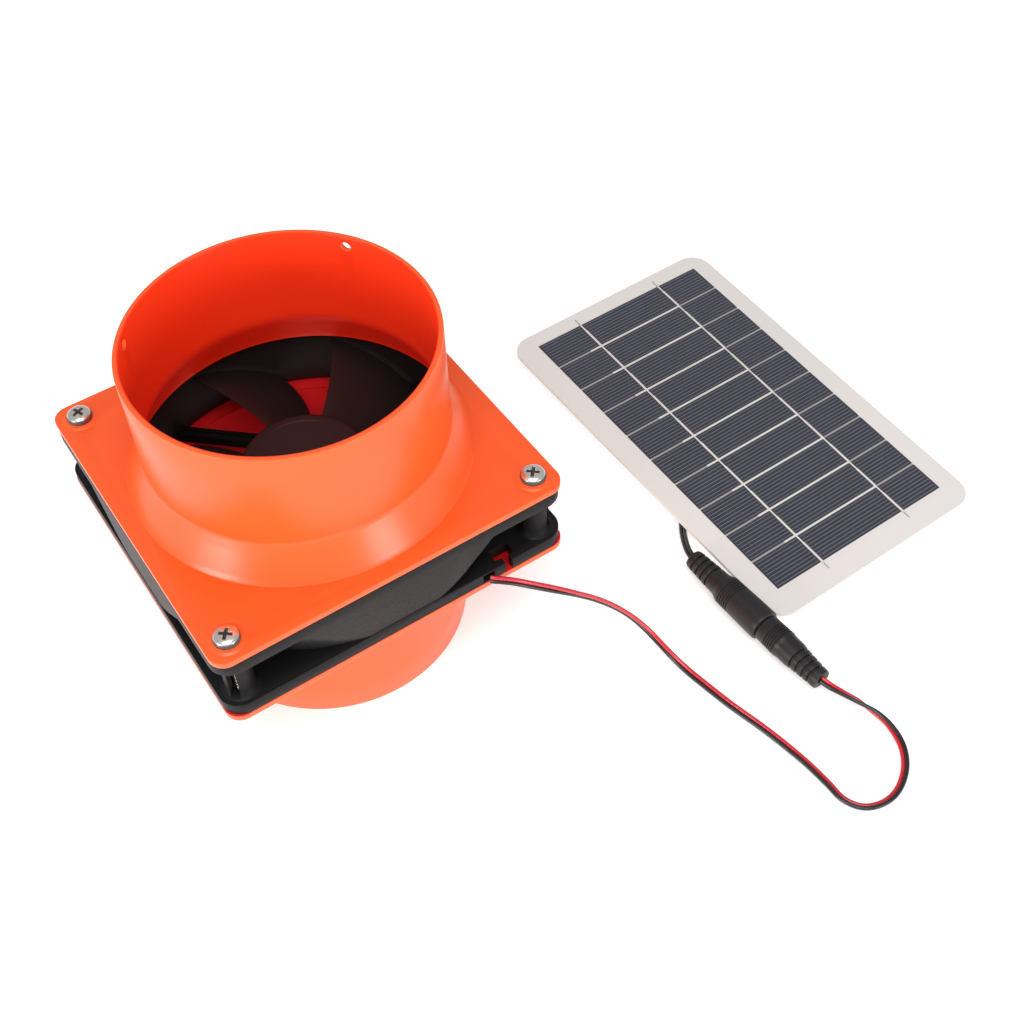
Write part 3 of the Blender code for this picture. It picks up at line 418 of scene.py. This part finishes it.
def make_materials():
    return {
        "orange": surface(
            "orange_abs", (0.93, 0.108, 0.015), (0.96, 0.12, 0.019), 0.3, 0.03, grain=500.0, bump=0.02,
        ),
        # Painted glow: a brighter, redder orange that gives off light, for the inside of the upper flange.
        "painted_glow_orange": surface(
            "orange_abs_painted_glow", (0.97, 0.048, 0.01), (0.98, 0.056, 0.012), 0.34, 0.03, grain=500.0, bump=0.02,
            Emission_Color=(1.0, 0.012, 0.003, 1.0), Emission_Strength=0.13, Specular_IOR_Level=0.32,
        ),
        # Painted shade: a darker, redder copy of the orange moulding, for the lower flange's inner walls and
        # its face towards the fan.
        "painted_shade_orange": surface(
            "orange_abs_shaded", (0.64, 0.009, 0.012), (0.7, 0.012, 0.014), 0.4, 0.03, grain=500.0, bump=0.02,
            Specular_IOR_Level=0.25,
        ),
        "matt": surface(
            "black_pbt_textured", (0.014, 0.0128, 0.0128), (0.022, 0.02, 0.02), 0.5, 0.08, bump=0.3,
            Specular_IOR_Level=0.18,
        ),
        "black": surface(
            "black_pbt", (0.009, 0.008, 0.008), (0.014, 0.0128, 0.0128),
            0.46, 0.06, bump=0.06, Specular_IOR_Level=0.15,
        ),
        # Painted shade: a darker, duller copy of the frame's black, for the struts that sit in the frame's
        # shade.
        "strut": surface(
            "strut_pbt_painted_shade", (0.005, 0.004, 0.004), (0.009, 0.007, 0.007),
            0.65, 0.08, bump=0.05, Specular_IOR_Level=0.06
        ),
        "blade": surface(
            "blade_pbt", (0.014, 0.009, 0.009), (0.02, 0.013, 0.012),
            0.5, 0.05, bump=0.05, Specular_IOR_Level=0.3,
        ),
        "connector": surface(
            "connector_vinyl", (0.014, 0.013, 0.013), (0.022, 0.02, 0.0195),
            0.4, 0.08, grain=900.0, bump=0.06, Specular_IOR_Level=0.34
        ),
        "chrome": surface(
            "plated_steel", (0.95, 0.91, 0.87), (0.7, 0.67, 0.64),
            0.27, 0.08, grain=1500.0, Metallic=1.0,
        ),
        # Painted shade for the screw heads' cross hollow and upright side.
        "screw_painted_shade": surface(
            "painted_screw_shade_dark", (0.07, 0.064, 0.06), (0.1, 0.092, 0.086),
            0.45, 0.08, grain=1500.0,
        ),
        "steel": surface("motor_steel", (0.6, 0.59, 0.57), (0.48, 0.47, 0.46), 0.28, 0.1, Metallic=1.0),
        "brass": surface(
            "turned_brass", (0.72, 0.5, 0.2), (0.62, 0.42, 0.17),
            0.28, 0.08, Metallic=1.0,
        ),
        "magnet": surface("bonded_ferrite", (0.05, 0.047, 0.045), (0.08, 0.075, 0.07), 0.6, 0.1),
        "core": surface(
            "core_laminations", (0.3, 0.3, 0.31), (0.22, 0.22, 0.23),
            0.4, 0.1, Metallic=1.0,
        ),
        "insulator": surface("bobbin_nylon", (0.66, 0.62, 0.48), (0.72, 0.68, 0.54), 0.5, 0.08),
        "copper": surface(
            "enamelled_copper", (0.72, 0.26, 0.09), (0.6, 0.2, 0.07),
            0.3, 0.1, grain=2500, Metallic=1.0,
        ),
        "board": surface("solder_mask", (0.03, 0.2, 0.07), (0.04, 0.26, 0.09), 0.4, 0.08),
        "chip": surface("chip_epoxy", (0.02, 0.02, 0.022), (0.03, 0.03, 0.032), 0.5, 0.08),
        "paper": surface("label_stock", (0.8, 0.8, 0.78), (0.74, 0.74, 0.72), 0.55, 0.06),
        "cream": surface(
            "cream_laminate", (0.79, 0.745, 0.72), (0.82, 0.78, 0.755),
            0.4, 0.04, mottle=12.0, grain=120.0, bump=0.01,
            Coat_Weight=0.25, Coat_Roughness=0.15),
        "cell": surface(
            "silicon_cell", (0.02, 0.023, 0.04), (0.034, 0.035, 0.052), 0.36, 0.04, mottle=120.0, grain=90.0,
            bump=0.01, Coat_Weight=0.4, Coat_Roughness=0.12,
        ),
        "finger": surface(
            "printed_silver", (0.23, 0.235, 0.26), (0.3, 0.3, 0.325),
            0.4, 0.08, mottle=300.0,
        ),
        "ribbon": surface(
            "tinned_ribbon", (0.74, 0.71, 0.67), (0.86, 0.83, 0.79),
            0.42, 0.1, mottle=500.0, Metallic=0.2, bump=0.12
        ),
        "red": surface(
            "red_vinyl", (0.56, 0.012, 0.026), (0.64, 0.018, 0.035),
            0.28, 0.05, Coat_Weight=0.4, Coat_Roughness=0.2
        ),
        "wire": surface(
            "black_vinyl", (0.009, 0.0085, 0.0085), (0.014, 0.013, 0.013),
            0.3, 0.06, Coat_Weight=0.3, Coat_Roughness=0.25
        ),
        # Painted shade: the dark line along the board's edge.
        "edge": surface("laminate_core_painted_shade", (0.1, 0.075, 0.055), (0.14, 0.11, 0.08), 0.6, 0.08),
        "grid": surface("cell_gap", (0.36, 0.345, 0.34), (0.42, 0.4, 0.39), 0.5, 0.06, mottle=200.0),
        "floor": surface(
            "pale_floor", (0.88, 0.88, 0.88), (0.9, 0.9, 0.9),
            0.7, 0.05, mottle=3.0, bump=0.0, Specular_IOR_Level=0.1,
            Emission_Color=(1.0, 1.0, 1.0, 1.0), Emission_Strength=0.4,
        ),
    }


# ---------------------------------------------------------------- fan

def duct_flange(name, plate_z, upward, material, painted_light_material, node):
    """Square plate, cone and collar, with the plate's outer face at zero and the collar above it."""
    square = rounded_rectangle(PLATE_HALF, PLATE_HALF, 5.3)
    plate = object_from(name + "_plate", prism(square, -PLATE_THICK, 0), material)
    boolean(plate, disc(53.4, -5, 5, 160))
    for sx, sy in CORNERS:
        boolean(plate, disc(SCREW_HOLE, -5, 5, 32), placement=moved(sx * SCREW_AT, sy * SCREW_AT))
    soften(plate, 0.45, 3)
    settled(plate)
    outer = [(52.9, -PLATE_THICK), (53.6, -PLATE_THICK), (53.6, -0.25), (54.9, -0.25), (54.62, 0.08)]
    outer += [(54.5 - 0.55 * h, h) for h in (0.4, 2, 4, 6, 8, 9.8)]
    outer += [(48.75, 10.6), (48.4, 11.2), (48.16, 11.8), (48.03, 12.4), (48.0, 13.1)]
    outer += [(48.0, 24), (48.0, 36), (48.0, 47.55), (47.86, 47.86), (47.55, 48.0)]
    inner = [(46.65, 48.0), (46.34, 47.86), (46.2, 47.55), (46.2, 30), (46.2, 15.5), (46.25, 14.2)]
    inner += [(46.42, 12.8), (46.8, 11.4), (47.3, 10.2), (48.2, 8.4), (52.0, 0.6), (52.5, -0.8)]
    collar = object_from(name + "_collar", lathe(outer + inner, 192), material)
    for azimuth in (36, 144):
        across = turned(azimuth) @ moved(47, 0, 44.2) @ turned(90, "Y")
        boolean(collar, disc(1.8, -6, 6, 32), placement=across)
    settled(collar)
    pieces = [plate, collar]
    ring = [(2.5, -0.3), (2.5, 0.42), (4.6, 0.42), (5.0, 0.36), (5.35, 0.12), (5.7, 0.0), (5.8, -0.3)]
    for sx, sy in CORNERS:
        pieces.append(object_from("boss", lathe(ring, 48), material, moved(sx * SCREW_AT, sy * SCREW_AT)))
    flange = merged(name, pieces, material)
    # The inner walls take a material with painted light, and so does the lower plate's face towards the fan:
    # a painted glow in the upper flange, painted shade in the lower.
    flange.data.materials.append(painted_light_material)
    for face in flange.data.polygons:
        radius = math.hypot(face.center.x, face.center.y)
        inward = -(face.center.x * face.normal.x + face.center.y * face.normal.y) / max(radius, MM)
        underside = face.normal.z < -0.9 and abs(face.center.z + PLATE_THICK * MM) < 0.1 * MM
        if (radius < 53.6 * MM and inward > 0.3) or (underside and not upward):
            face.material_index = 1
    way_up = Matrix.Identity(4) if upward else turned(180, "X")
    flange.data.transform(FAN @ moved(0, 0, plate_z) @ way_up)
    return stands_for(flange, "fan", "orange", node)


def fan_frame(material, matt, shaded):
    """The box fan's frame: two flanges, ring, corner posts, motor base and struts."""
    z0, z1, thick = FRAME_LOW, FRAME_HIGH, FRAME_FLANGE
    outline = rounded_rectangle(PLATE_HALF, PLATE_HALF, 7)
    pieces = []
    for name, low, high in (("lower", z0, z0 + thick), ("upper", z1 - thick, z1)):
        flange = object_from("frame_" + name, prism(outline, low, high), material)
        boolean(flange, disc(58.6, z0 - 5, z1 + 5, 160))
        for sx, sy in CORNERS:
            at = moved(sx * SCREW_AT, sy * SCREW_AT)
            boolean(flange, disc(SCREW_HOLE, z0 - 5, z1 + 5, 32), placement=at)
        if name == "lower":
            x = 37.8
            hook = (
                (x - 1.3, -62), (x + 1.3, -62), (x + 1.3, -57.6), (x + 3.4, -57.6),
                (x + 3.4, -53.2), (x - 3.6, -53.2), (x - 3.6, -57.6), (x - 1.3, -57.6),
            )
            boolean(flange, prism(hook, z0 - 3, z0 + thick + 3))
            groove = (
                (28.2, -62), (32.4, -62), (32.4, -58.4), (27.6, -53.2),
                (22.4, -48.4), (19.6, -51.2), (28.2, -58.4),
            )
            boolean(flange, prism(groove, z0 + 0.4, z0 + 3.7))
        soften(flange, 0.4, 3)
        pieces.append(settled(flange))
    ring = [
        (57.2, z0 + 2.2), (57.6, z0 + 0.8), (58.3, z0 + 0.1), (60.6, z0 + 0.1), (61.0, z0 + thick),
        (64.6, 63.5), (68.3, z1 - thick), (68.3, z1 - 0.1), (59.2, z1 - 0.1), (58.0, z1 - 1.0),
        (57.2, z1 - 3.4),
    ]
    wall = object_from("frame_ring", lathe(ring, 160), matt)
    boolean(wall, box(-59.85, 59.85, -59.85, 59.85, z0 - 5, z1 + 5), "INTERSECT")
    channel = box(21.2, 23.8, 44, 70, z0 + 1.2, z0 + 3.95)
    boolean(wall, channel, placement=turned(-133))
    pieces.append(settled(wall))
    for sx, sy in CORNERS:
        outward = math.degrees(math.atan2(sy, sx))
        at = moved(sx * SCREW_AT, sy * SCREW_AT)
        flare = [(SCREW_HOLE, z0 + 1), (6.2, z0 + 1), (6.2, z0 + thick), (5.2, z0 + thick + 0.4)]
        flare += [(4.7, z0 + thick + 1.4), (4.6, z0 + thick + 3), (4.6, z1 - thick - 3)]
        flare += [(4.7, z1 - thick - 1.4), (5.2, z1 - thick - 0.4)]
        flare += [(6.2, z1 - thick), (6.2, z1 - 1), (SCREW_HOLE, z1 - 1)]
        post = object_from("frame_post", lathe(flare, 48), material, at)
        slit = box(1.0, 9, -1.5, 1.5, z0 + thick + 0.3, z1 - thick - 0.3)
        boolean(post, slit, placement=at @ turned(outward))
        soften(post, 0.25, 2, 50)
        pieces.append(settled(post))
    base = [(5.3, z0 + 0.7), (18.9, z0 + 0.7), (18.9, z0), (22, z0), (22, 53.0), (5.3, 53.0)]
    base = object_from("frame_base", lathe(rounded(base, 0.35, 3), 96), material)
    pieces.append(base)
    strut = ((-2, 54.6), (-2, 10), (-6.5, 4), (-6.5, -4), (-1.3, -4), (2, 8), (2, 53.6))
    strut = [(x + 22.5, y) for x, y in strut]
    for number in range(4):
        turn = turned(-133 + 90 * number)
        beam = object_from("frame_strut", prism(strut, z0 + 0.05, 54.3), shaded, turn)
        if number == 0:
            boolean(beam, box(21.2, 23.8, 3, 70, z0 + 1.2, z0 + 9), placement=turn)
            boolean(beam, box(13, 23.8, -1.2, 7, 52.9, z0 + 9), placement=turn)
        else:
            boolean(beam, box(21.7, 23.3, 12, 51, z0 + 2.6, z0 + 9), placement=turn)
        soften(beam, 0.3, 2)
        pieces.append(settled(beam))
    body = merged("fan_frame_moulding", pieces)
    body.data.transform(FAN)
    return stands_for(body, "fan", "black", "fan_frame")


def blade_point(radius, along, side):
    reach = max((radius - 20.5) / 35.3, 0.0)
    lead = math.radians(45.5 + 6.5 * reach**1.2)
    sweep = math.radians(40.0 - 9.0 * reach**1.6)
    tangent = Vector((-sweep * radius, -15.4 * (0.7 + 0.6 * along)))
    normal = Vector((-tangent.y, tangent.x)).normalized()
    edge = min(along, 1 - along)
    thickness = 1.6 * math.sqrt(min(1.0, max(edge, 0.0) / 0.16 + 0.02)) * (1.15 - 0.25 * reach)
    angle = lead - sweep * along + normal.x * side * thickness / 2 / radius
    height = 71.4 - 15.4 * (0.7 * along + 0.3 * along**2) + normal.y * side * thickness / 2
    return Vector((radius * math.cos(angle), radius * math.sin(angle), height)) * MM


def blade(bm, turn):
    radii = [19.6, 21, 23, 26, 30, 34, 38, 42, 46, 50, 53, 55, 55.7]
    stations = [0, 0.02, 0.06, 0.12, 0.2, 0.3, 0.4, 0.5, 0.6, 0.7, 0.8, 0.88, 0.94, 0.98, 1]
    grids = []
    for side in (1, -1):
        grid = [[bm.verts.new(turn @ blade_point(r, s, side)) for s in stations] for r in radii]
        for i in range(len(radii) - 1):
            for j in range(len(stations) - 1):
                bm.faces.new((grid[i][j], grid[i + 1][j], grid[i + 1][j + 1], grid[i][j + 1]))
        grids.append(grid)
    upper, lower = grids
    for row in (0, -1):
        for j in range(len(stations) - 1):
            bm.faces.new((upper[row][j], upper[row][j + 1], lower[row][j + 1], lower[row][j]))
    for column in (0, -1):
        for i in range(len(radii) - 1):
            bm.faces.new((upper[i][column], upper[i + 1][column], lower[i + 1][column], lower[i][column]))


def impeller(material):
    profile = [(0, 70.8), (18.4, 70.8), (18.9, 70.3), (18.9, 55.2), (20.3, 55.2), (20.5, 55.4), (20.5, 70.6)]
    profile += [(20.42, 71.1), (20.2, 71.6), (19.85, 71.95), (19.4, 72.18), (18.8, 72.3), (17.2, 72.3)]
    profile += [(17.0, 72.1), (0, 72.1)]
    bm = lathe(profile, 112)
    for number in range(7):
        blade(bm, turned(360 * number / 7))
    wheel = object_from("fan_wheel", bm, material, None, 42)
    wheel.data.transform(FAN)
    return stands_for(wheel, "rotor", "black", "impeller")


def thread(bm, z0, z1, outer, inner, pitch, sides=24):
    """A turned thread round Z: its radius rises and falls once for each pitch along a helix."""
    steps = int((z1 - z0) / pitch * 5)
    rings = []
    for i in range(steps + 1):
        z = z0 + (z1 - z0) * i / steps
        ring = []
        for k in range(sides):
            phase = (z / pitch - k / sides) % 1.0
            radius = inner + (outer - inner) * (1 - abs(2 * phase - 1))
            angle = 2 * math.pi * k / sides
            ring.append(bm.verts.new((radius * math.cos(angle) * MM, radius * math.sin(angle) * MM, z * MM)))
        rings.append(ring)
    for a, b in zip(rings, rings[1:]):
        for k in range(sides):
            bm.faces.new((a[k], a[(k + 1) % sides], b[(k + 1) % sides], b[k]))
    bm.faces.new(rings[0])
    bm.faces.new(rings[-1])


def clamp_screws(materials):
    seat = PLATE_TOP + 0.5
    head = [(0, seat), (3.95, seat), (4.05, seat + 0.15), (4.05, seat + 0.8), (3.98, seat + 1.25)]
    head += [(3.75, seat + 1.7), (3.35, seat + 2.1), (2.8, seat + 2.38), (2.0, seat + 2.56)]
    head += [(1.0, seat + 2.65), (0, seat + 2.68)]
    for number, (sx, sy) in enumerate(CORNERS, 1):
        at = moved(sx * SCREW_AT, sy * SCREW_AT) @ turned(17 + 31 * number)
        cap = object_from("screw_head", lathe(head, 56), materials["chrome"], at)
        for arm in (0, 90):
            taper = bmesh.new()
            low = [(-1.2, -0.32), (1.2, -0.32), (1.2, 0.32), (-1.2, 0.32)]
            high = [(-2.4, -0.6), (2.4, -0.6), (2.4, 0.6), (-2.4, 0.6)]
            bottom = [taper.verts.new((x * MM, y * MM, (seat + 0.7) * MM)) for x, y in low]
            top = [taper.verts.new((x * MM, y * MM, (seat + 3.2) * MM)) for x, y in high]
            taper.faces.new(bottom[::-1])
            taper.faces.new(top)
            for k in range(4):
                taper.faces.new((bottom[k], bottom[(k + 1) % 4], top[(k + 1) % 4], top[k]))
            boolean(cap, taper, placement=at @ turned(arm))
        soften(cap, 0.12, 2, 45)
        settled(cap, 50)
        shank = bmesh.new()
        thread(shank, 43.3, seat + 0.05, 2.0, 1.62, 0.7)
        shank = object_from("screw_shank", shank, materials["chrome"], at, 70)
        screw = merged(f"pan_head_screw_{number}", [cap, shank], materials["chrome"])
        # Painted shade: the cross hollow in the head and the head's upright side take a dark material in
        # place of the plating, darker than its dome.
        screw.data.materials.append(materials["screw_painted_shade"])
        for face in screw.data.polygons:
            reach = math.hypot(face.center.x - sx * SCREW_AT * MM, face.center.y - sy * SCREW_AT * MM)
            sunk = seat * MM + 0.5 * MM < face.center.z < seat * MM + 1.2 * MM
            steep = face.center.z > seat * MM and abs(face.normal.z) < 0.5
            if steep or (sunk and reach < 2.75 * MM):
                face.material_index = 1
        screw.data.transform(FAN)
        stands_for(screw, "fan", "steel", f"clamp_screw_{number}")
        top = PLATE_BOTTOM - 0.5
        across = 7.0 / math.sqrt(3)
        sixths = [math.pi * k / 3 for k in range(6)]
        hexagon = [(across * math.cos(angle), across * math.sin(angle)) for angle in sixths]
        place = moved(sx * SCREW_AT, sy * SCREW_AT) @ turned(12 * number)
        nut = object_from(f"hex_nut_{number}", prism(hexagon, top - 3.2, top), materials["chrome"], place)
        crown = [(0, top - 3.2), (3.3, top - 3.2), (4.25, top - 2.65), (4.25, top - 0.55)]
        crown += [(3.3, top), (0, top)]
        boolean(nut, lathe(crown, 72), "INTERSECT", place)
        boolean(nut, disc(2.1, top - 6, top + 3, 40), placement=place)
        settled(nut)
        nut.matrix_world = FAN @ place
        stands_for(nut, "fan", "steel", f"clamp_nut_{number}")


# ---------------------------------------------------------------- connector

ALONG = Vector((1.75, -37.5, 0.0)).normalized()
SOCKET_START = Vector((111.75, -64.3, 6.0))


def on_connector(start):
    place = FAN @ Matrix.Translation((SOCKET_START + ALONG * start) * MM)
    return place @ ALONG.to_track_quat("Z", "Y").to_matrix().to_4x4()


def grooved(profile, places, width, depth):
    """The outer profile, given as (height, radius) stations, with a square groove cut at each place."""
    def radius(height):
        for (a, low), (b, high) in zip(profile, profile[1:]):
            if a <= height <= b:
                return low + (high - low) * (height - a) / (b - a)
        return profile[-1][1]

    half = width / 2
    points = [(h, r) for h, r in profile if all(abs(h - at) > half + 0.12 for at in places)]
    for at in places:
        points += [(at - half - 0.1, radius(at - half - 0.1)), (at - half, radius(at) - 0.08)]
        points += [(at - half + 0.04, radius(at) - depth), (at + half - 0.04, radius(at) - depth)]
        points += [(at + half, radius(at) - 0.08), (at + half + 0.1, radius(at + half + 0.1))]
    return [(r, h) for h, r in sorted(points)]


def connector(materials):
    length, mouth = 37.3, 2.98
    outer = [(0.0, 2.9), (0.25, 3.35), (0.8, 3.55), (2.0, 3.72), (5.5, 3.92), (9.0, 4.18)]
    outer += [(13.6, 4.35), (15.0, 4.5), (16.1, 4.85), (16.9, 5.25), (17.8, 5.5), (24.5, 5.64)]
    outer += [(28.0, 5.72), (33.0, 5.82), (35.4, 5.84)]
    outer += [(36.3, 5.84), (36.95, 5.7), (37.25, 5.3), (length, 4.6)]
    socket = grooved(outer, (3.1, 5.7, 8.3, 10.9), 0.9, 0.75)
    socket = [p for p in socket if p[1] < 18.0] + [
        p for p in grooved(outer, (18.9, 19.95, 21.0, 22.05, 23.1), 0.44, 0.42) if p[1] >= 18.0
    ]
    socket = [(1.62, 0.1)] + socket + [(mouth, length), (mouth, length - 12.4), (1.62, length - 12.4)]
    body = object_from("inline_socket", lathe(socket, 96), materials["connector"], on_connector(0))
    stands_for(body, "panel", "black", "dc_socket_body")
    outer = [(0.0, 4.5), (0.12, 4.9), (0.6, 5.02), (3.4, 5.04), (9.0, 5.2), (9.5, 5.0), (10.6, 4.88)]
    outer += [(14.3, 4.83), (15.6, 4.6), (17.0, 4.45), (20.0, 4.2), (22.6, 4.02), (24.8, 3.84)]
    outer += [(26.2, 3.8), (26.85, 3.65), (27.1, 3.2)]
    plug = [p for p in grooved(outer, (4.1, 5.1, 6.1, 7.1, 8.1), 0.44, 0.42) if p[1] < 12.0]
    plug += [p for p in grooved(outer, (16.2, 18.9, 21.5, 24.0), 0.95, 0.8) if p[1] >= 12.0]
    plug = [(mouth - 0.1, 0)] + plug + [(1.62, 27.0), (1.62, 8.3), (mouth - 0.1, 8.3)]
    body = object_from("inline_plug", lathe(plug, 96), materials["connector"], on_connector(length + 0.3))
    stands_for(body, "fan", "black", "dc_plug_body")


# ---------------------------------------------------------------- panel

PANEL = FAN @ moved(165.77, -20.84, 8.12) @ turned(2.15) @ turned(3.2, "X") @ turned(1.45, "Y")
PITCH = 14.26
CELL_HALF_WIDTH = 40.15
CELL_HALF_LENGTH = 6.73
RIBBON_X = (-19.15, 20.85)
# The cells' own axes: they lie a little off the board's centre and a little turned.
LAID = PANEL @ moved(0.65, 1.7) @ turned(-0.4)


def panel_part(name, bm, material, slot, *nodes, place=PANEL, width=0.0, sharp=35):
    obj = object_from(name, bm, material, place, sharp)
    if width:
        soften(obj, width, 2)
    settled(obj, sharp)
    return stands_for(obj, "panel", slot, *nodes)


def panel(materials):
    outline = rounded_rectangle(48.7, 79.45, 8, 12)
    backing = prism(outline, -2.6, -1.78)
    panel_part("panel_backing", backing, materials["cream"], "cream", "panel_board", width=0.25)
    # Painted shade: a dark brown layer set in a little between backing and encapsulant, standing for the
    # shadow line along the board's edge.
    core = prism(rounded_rectangle(48.35, 79.1, 7.6, 12), -1.9, -1.4)
    panel_part("panel_core", core, materials["edge"], "cream")
    # The cover's border. Over the cells the cover is a gloss in their own material.
    margin = object_from("panel_margin", prism(outline, -1.0, -0.9), materials["cream"], PANEL)
    boolean(margin, box(-41.0, 41.0, -72.2, 72.2, -3, 3), placement=LAID)
    stands_for(settled(margin), "panel", "cream", "cover_laminate")
    fill = prism(outline, -1.5, -0.95)
    panel_part("panel_encapsulant", fill, materials["cream"], "cream", width=0.12, sharp=20)
    half = CELL_HALF_LENGTH
    wide = CELL_HALF_WIDTH
    for number in range(10):
        y = (number - 4.5) * PITCH
        corners = ((-wide, y - half), (wide, y - half), (wide, y + half), (-wide, y + half))
        outline = rounded(corners, 0.25, 2)
        panel_part(
            f"cell_strip_{number + 1:02d}", prism(outline, -0.93, -0.78), materials["cell"], "cell",
            f"solar_cell_{number + 1:02d}", place=LAID,
        )
    fingers = bmesh.new()
    for number in range(10):
        y = (number - 4.5) * PITCH
        for line in range(9):
            at = y + (line - 4) * 1.45
            box(-39.5, 39.5, at - 0.075, at + 0.075, -0.80, -0.765, fingers)
    panel_part("grid_fingers", fingers, materials["finger"], "ribbon", place=LAID)
    bridges = bmesh.new()
    for number in range(9):
        y = (number - 4) * PITCH
        box(-24.5, 20.85, y - 0.42, y + 0.42, -0.93, -0.72, bridges)
    panel_part("cell_bridges", bridges, materials["ribbon"], "ribbon", place=LAID)
    gaps = bmesh.new()
    for number in range(9):
        y = (number - 4) * PITCH
        box(-40.0, -24.5, y - 0.4, y + 0.4, -0.94, -0.86, gaps)
        box(20.85, 40.0, y - 0.4, y + 0.4, -0.94, -0.86, gaps)
    panel_part("cell_gaps", gaps, materials["grid"], "ribbon", place=LAID)
    # Painted shadow: thin strips in the cells' dark material along each side of the ribbons, over the
    # fingers, where the ribbons' shadows fall.
    ribbon_shadow_strips = bmesh.new()
    for x in RIBBON_X:
        box(x - 0.72, x + 0.72, -70.9, 70.9, -0.79, -0.755, ribbon_shadow_strips)
    panel_part("ribbon_painted_shadow", ribbon_shadow_strips, materials["cell"], "cell", place=LAID)
    tails = bmesh.new()
    for number, x in enumerate(RIBBON_X, 1):
        ribbon = bmesh.new()
        box(x - 0.33, x + 0.33, -71.0, 71.0, -0.80, -0.74, ribbon)
        for row in range(10):
            top = (row - 4.5) * PITCH + half
            box(x - 0.45, x + 0.45, top - 14.3, top - 3.6, -0.77, -0.66, ribbon)
        for tail in range(6):
            for sign in (-1, 1):
                at = sign * (71.3 + 0.6 * tail)
                side = 0.1 if tail % 2 else -0.1
                box(x + side - 0.3, x + side + 0.3, at - 0.24, at + 0.24, -0.94, -0.84, tails)
        panel_part(
            f"busbar_{number}", ribbon, materials["ribbon"], "ribbon", f"busbar_ribbon_{number}", place=LAID
        )
    panel_part("solder_tails", tails, materials["grid"], "ribbon", place=LAID)
    junction(materials)


def junction(materials):
    top = -2.7
    bottom = top - 7.08
    here = PANEL @ moved(-2, 52)
    outline = rounded_rectangle(22, 14, 3, 8)
    case = object_from("junction_case", prism(outline, bottom + 1.5, top), materials["connector"], here)
    boolean(case, prism(rounded_rectangle(20.5, 12.5, 1.5, 6), bottom - 2, top - 1.2), placement=here)
    inlet = FAN @ Matrix.Translation(Vector((150.2, 14.5, 4.35)) * MM) @ turned(90, "X")
    boolean(case, disc(1.75, -5, 5, 32), placement=inlet)
    soften(case, 0.4, 3)
    settled(case)
    stands_for(case, "panel", "black", "junction_box")
    lid = object_from("junction_lid", prism(outline, bottom, bottom + 1.2), materials["connector"], here)
    for sx, sy in CORNERS:
        boolean(lid, disc(1.1, bottom - 2, bottom + 0.6, 24), placement=here @ moved(sx * 18, sy * 10))
    soften(lid, 0.3, 3)
    settled(lid)
    stands_for(lid, "panel", "black", "junction_box_lid")


# ---------------------------------------------------------------- all together

def dress_cad_nodes(materials):
    """The pieces inside the motor and the connector keep their CAD shape and get their finish."""
    finish = {
        "rotor_yoke": "steel", "magnet_ring": "magnet", "rotor_bush": "brass", "rotor_shaft": "chrome",
        "retaining_clip": "steel", "bearing_tube": "brass", "bearing_lower": "chrome",
        "bearing_upper": "chrome",
        "preload_washer": "steel", "stator_core": "core", "insulator_lower": "insulator",
        "insulator_upper": "insulator", "motor_board": "board", "driver_chip": "chip", "base_label": "paper",
        "dc_plug_barrel": "chrome", "dc_socket_pin": "chrome", "blocking_diode": "chip", "strut_lead": "red",
    }
    for number in range(1, 5):
        finish[f"coil_{number}"] = "copper"
    for node, key in finish.items():
        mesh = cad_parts[node].data
        mesh.materials.clear()
        mesh.materials.append(materials[key])


def leads(materials):
    sleeves = (materials["red"], materials["wire"])
    lead, path = twin_lead(
        "red_black_lead", FAN_LEAD_ROUTE, FAN_LEAD_TWIST, sleeves, 0.0007, 0.00137
    )
    stands_for(lead, "fan", "red_wire", "fan_lead")
    sleeves = (materials["wire"], materials["wire"])
    lead, path = twin_lead(
        "black_lead", PANEL_LEAD_ROUTE, PANEL_LEAD_TWIST, sleeves, 0.0007, 0.00136
    )
    stands_for(lead, "panel", "black_wire", "panel_lead")


def floor(material):
    bm = bmesh.new()
    bmesh.ops.create_grid(bm, x_segments=1, y_segments=1, size=FLOOR_HALF_SIZE)
    ground = object_from("floor", bm, material, Matrix.Translation((0, 0, -FLOOR_DROP)))


def main():
    add_camera()
    materials = make_materials()
    connector(materials)
    leads(materials)
    orange = materials["orange"]
    duct_flange("upper_flange_moulding", PLATE_TOP, True, orange, materials["painted_glow_orange"], "upper_duct_flange")
    duct_flange("lower_flange_moulding", PLATE_BOTTOM, False, orange, materials["painted_shade_orange"], "lower_duct_flange")
    fan_frame(materials["black"], materials["matt"], materials["strut"])
    impeller(materials["blade"])
    clamp_screws(materials)
    panel(materials)
    dress_cad_nodes(materials)
    floor(materials["floor"])
    add_studio()


main()
